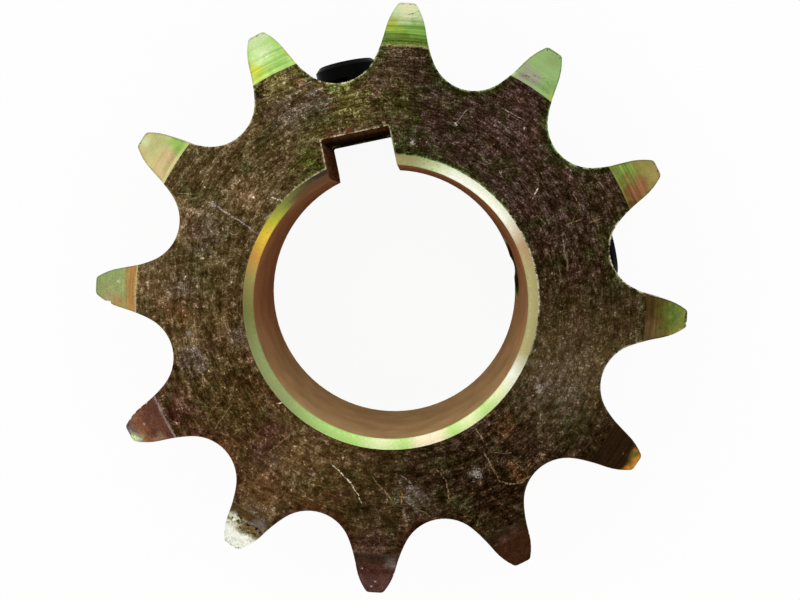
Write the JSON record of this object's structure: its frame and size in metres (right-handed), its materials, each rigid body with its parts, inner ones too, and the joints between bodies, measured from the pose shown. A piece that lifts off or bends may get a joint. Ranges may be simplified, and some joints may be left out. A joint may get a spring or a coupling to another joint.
{
  "type": "chain sprocket",
  "caption": "Toothed wheel for roller chain, with a hub on one side, a keyed bore and set screws that lock it on a shaft.",
  "frame": {"origin": "on the bore axis, at the hub's end face, which the part lies on", "axes": "+Z along the bore axis from the hub's end face to the toothed plate; +Y through the middle of the keyway and of one tooth gap; +X along the second set screw"},
  "size_m": [0.1068, 0.1068, 0.0381],
  "materials": {
    "yellow_zinc_steel": "steel, zinc plated and yellow chromated, worn to an olive brown with green and tan sheen",
    "black_oxide_steel": "alloy steel, black oxide, slightly oily"
  },
  "bodies": {
    "root": {"sprocket": "yellow_zinc_steel", "keyway_set_screw": "black_oxide_steel", "side_set_screw": "black_oxide_steel"}
  },
  "joints": []
}
